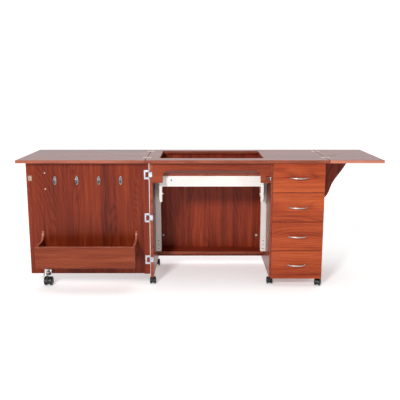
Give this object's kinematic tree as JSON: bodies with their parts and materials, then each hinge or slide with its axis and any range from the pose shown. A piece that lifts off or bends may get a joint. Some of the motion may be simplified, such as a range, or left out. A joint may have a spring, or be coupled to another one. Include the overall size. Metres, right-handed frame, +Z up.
{
  "type": "sewing table",
  "caption": "Sewing table on castors with fold-out tops, a rising platform for the machine, a swing-out door with bin and hooks, and a bank of drawers.",
  "frame": {"origin": "middle of the object's footprint on the floor, with the leaves and the door open", "axes": "+X along the open tops to the drawers' side, +Y from the drawers' front to the back, +Z up"},
  "size_m": [2.126, 0.675, 0.7715],
  "materials": {
    "top_laminate": "reddish cherry wood-grain laminate, satin gloss",
    "panel_laminate": "reddish cherry laminate, upright grain, satin gloss",
    "front_laminate": "reddish cherry laminate, level grain, satin gloss",
    "drawer_board": "pale foil-faced board",
    "white_steel": "white powder coat",
    "spring_steel": "black gloss paint",
    "spring_rod": "hard chrome",
    "runner_steel": "zinc plated",
    "hinge_steel": "bright zinc plated",
    "flush_hinge": "pale brass plated",
    "satin_nickel": "satin nickel",
    "black_nylon": "moulded nylon, fine texture",
    "wheel_nylon": "moulded nylon, smooth tread",
    "catch_plastic": "brown moulded plastic",
    "cap_plastic": "pale moulded plastic"
  },
  "bodies": {
    "cabinet": {"left_side_panel": "panel_laminate", "partition_panel": "panel_laminate", "right_side_panel": "panel_laminate", "knee_back_panel": "panel_laminate", "pedestal_back_panel": "panel_laminate", "bottom_shelf": "front_laminate", "pedestal_bottom": "front_laminate", "knee_apron": "front_laminate", "cam_fasteners": "cap_plastic", "main_top": "top_laminate", "main_top_hinge_plates": "flush_hinge", "lift_rails": "white_steel", "gas_spring_cylinders": "spring_steel", "drawer_runner_channels": "runner_steel", "magnetic_catch": "catch_plastic", "caster_sockets": "runner_steel", "cabinet_hinge_leaves": "hinge_steel"},
    "left_leaf": {"left_leaf": "top_laminate", "left_leaf_hinge_plates": "flush_hinge"},
    "right_leaf": {"right_leaf": "top_laminate", "right_leaf_hinge_plates": "flush_hinge"},
    "support_wing": {"leaf_support_wing": "panel_laminate", "wing_hinge_leaves": "hinge_steel"},
    "door": {"door_panel": "panel_laminate", "door_hinge_stile": "panel_laminate", "door_hinge_frames": "hinge_steel", "bin_front": "front_laminate", "bin_sides": "front_laminate", "bin_bottom": "front_laminate", "door_hooks": "satin_nickel", "door_handle": "satin_nickel", "door_strike_plate": "runner_steel", "door_caster_bracket": "runner_steel"},
    "lift": {"lift_platform": "front_laminate", "lift_frame": "white_steel", "gas_spring_rods": "spring_rod"},
    "drawer_1": {"drawer_1_front": "front_laminate", "drawer_1_box": "drawer_board", "drawer_1_handle": "satin_nickel"},
    "drawer_2": {"drawer_2_front": "front_laminate", "drawer_2_box": "drawer_board", "drawer_2_handle": "satin_nickel"},
    "drawer_3": {"drawer_3_front": "front_laminate", "drawer_3_box": "drawer_board", "drawer_3_handle": "satin_nickel"},
    "drawer_4": {"drawer_4_front": "front_laminate", "drawer_4_box": "drawer_board", "drawer_4_handle": "satin_nickel"},
    "caster_front_left": {"caster_front_left_housing": "black_nylon"},
    "caster_front_left_wheels": {"caster_front_left_wheels": "wheel_nylon"},
    "caster_rear_left": {"caster_rear_left_housing": "black_nylon"},
    "caster_rear_left_wheels": {"caster_rear_left_wheels": "wheel_nylon"},
    "caster_front_middle": {"caster_front_middle_housing": "black_nylon"},
    "caster_front_middle_wheels": {"caster_front_middle_wheels": "wheel_nylon"},
    "caster_front_right": {"caster_front_right_housing": "black_nylon"},
    "caster_front_right_wheels": {"caster_front_right_wheels": "wheel_nylon"},
    "caster_rear_right": {"caster_rear_right_housing": "black_nylon"},
    "caster_rear_right_wheels": {"caster_rear_right_wheels": "wheel_nylon"},
    "door_caster": {"door_caster_housing": "black_nylon"},
    "door_caster_wheels": {"door_caster_wheels": "wheel_nylon"}
  },
  "joints": [
    {"name": "left_leaf_fold", "type": "hinge", "parent": "cabinet", "child": "left_leaf", "pos_m": [-0.3165, -0.2175, 0.7685], "axis": [0, 1, 0], "range_deg": [0, 180]},
    {"name": "right_leaf_fold", "type": "hinge", "parent": "cabinet", "child": "right_leaf", "pos_m": [0.7485, -0.2175, 0.7685], "axis": [0, -1, 0], "range_deg": [0, 180]},
    {"name": "wing_swing", "type": "hinge", "parent": "cabinet", "child": "support_wing", "pos_m": [0.7312, 0.0727, 0.465], "axis": [0, 0, 1], "range_deg": [0, 90]},
    {"name": "door_swing", "type": "hinge", "parent": "cabinet", "child": "door", "pos_m": [-0.2985, -0.1806, 0.074], "axis": [0, 0, 1], "range_deg": [0, 180]},
    {"name": "lift_slide", "type": "slide", "parent": "cabinet", "child": "lift", "axis": [0, 0, 1], "range_m": [-0.171, 0.088]},
    {"name": "drawer_1_slide", "type": "slide", "parent": "cabinet", "child": "drawer_1", "axis": [0, -1, 0], "range_m": [0, 0.323]},
    {"name": "drawer_2_slide", "type": "slide", "parent": "cabinet", "child": "drawer_2", "axis": [0, -1, 0], "range_m": [0, 0.323]},
    {"name": "drawer_3_slide", "type": "slide", "parent": "cabinet", "child": "drawer_3", "axis": [0, -1, 0], "range_m": [0, 0.323]},
    {"name": "drawer_4_slide", "type": "slide", "parent": "cabinet", "child": "drawer_4", "axis": [0, -1, 0], "range_m": [0, 0.323]},
    {"name": "caster_front_left_swivel", "type": "hinge", "parent": "cabinet", "child": "caster_front_left", "pos_m": [-0.287, -0.1575, 0.053], "axis": [0, 0, 1], "continuous": true},
    {"name": "caster_front_left_roll", "type": "hinge", "parent": "caster_front_left", "child": "caster_front_left_wheels", "pos_m": [-0.287, -0.1395, 0.02], "axis": [1, 0, 0], "continuous": true},
    {"name": "caster_rear_left_swivel", "type": "hinge", "parent": "cabinet", "child": "caster_rear_left", "pos_m": [-0.287, 0.2125, 0.053], "axis": [0, 0, 1], "continuous": true},
    {"name": "caster_rear_left_roll", "type": "hinge", "parent": "caster_rear_left", "child": "caster_rear_left_wheels", "pos_m": [-0.287, 0.2305, 0.02], "axis": [1, 0, 0], "continuous": true},
    {"name": "caster_front_middle_swivel", "type": "hinge", "parent": "cabinet", "child": "caster_front_middle", "pos_m": [0.424, -0.1575, 0.053], "axis": [0, 0, 1], "continuous": true},
    {"name": "caster_front_middle_roll", "type": "hinge", "parent": "caster_front_middle", "child": "caster_front_middle_wheels", "pos_m": [0.424, -0.1395, 0.02], "axis": [1, 0, 0], "continuous": true},
    {"name": "caster_front_right_swivel", "type": "hinge", "parent": "cabinet", "child": "caster_front_right", "pos_m": [0.719, -0.1575, 0.053], "axis": [0, 0, 1], "continuous": true},
    {"name": "caster_front_right_roll", "type": "hinge", "parent": "caster_front_right", "child": "caster_front_right_wheels", "pos_m": [0.71139, -0.17381, 0.02], "axis": [-0.9063, 0.4226, 0], "continuous": true},
    {"name": "caster_rear_right_swivel", "type": "hinge", "parent": "cabinet", "child": "caster_rear_right", "pos_m": [0.719, 0.2125, 0.053], "axis": [0, 0, 1], "continuous": true},
    {"name": "caster_rear_right_roll", "type": "hinge", "parent": "caster_rear_right", "child": "caster_rear_right_wheels", "pos_m": [0.719, 0.2305, 0.02], "axis": [1, 0, 0], "continuous": true},
    {"name": "door_caster_swivel", "type": "hinge", "parent": "door", "child": "door_caster", "pos_m": [-0.917, -0.1915, 0.073], "axis": [0, 0, 1], "continuous": true},
    {"name": "door_caster_roll", "type": "hinge", "parent": "door_caster", "child": "door_caster_wheels", "pos_m": [-0.917, -0.1695, 0.025], "axis": [1, 0, 0], "continuous": true}
  ]
}
